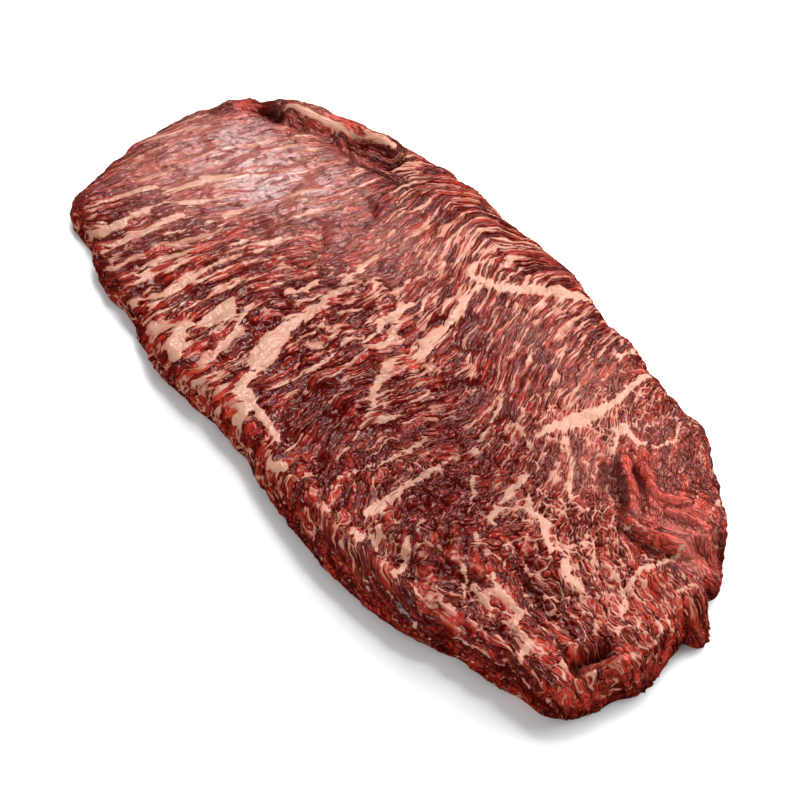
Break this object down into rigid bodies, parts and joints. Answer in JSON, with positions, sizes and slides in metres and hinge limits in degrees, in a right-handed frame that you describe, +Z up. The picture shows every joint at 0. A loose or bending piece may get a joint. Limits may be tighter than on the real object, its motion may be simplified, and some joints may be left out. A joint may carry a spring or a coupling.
{
  "type": "flank steak",
  "caption": "Raw, heavily marbled flank steak lying flat: a long oval slab with a domed, creased top, rounded walls, a ragged thick end and a flat underside.",
  "frame": {"origin": "on the surface the steak lies on, under the middle of the slab", "axes": "+X along the steak from the thin end to the ragged end, +Y across it, +Z up"},
  "size_m": [0.3607, 0.1725, 0.0267],
  "materials": {
    "raw_meat": "moist raw beef, dark red lean with cream fat"
  },
  "bodies": {
    "root": {"flank_steak": "raw_meat"}
  },
  "joints": []
}
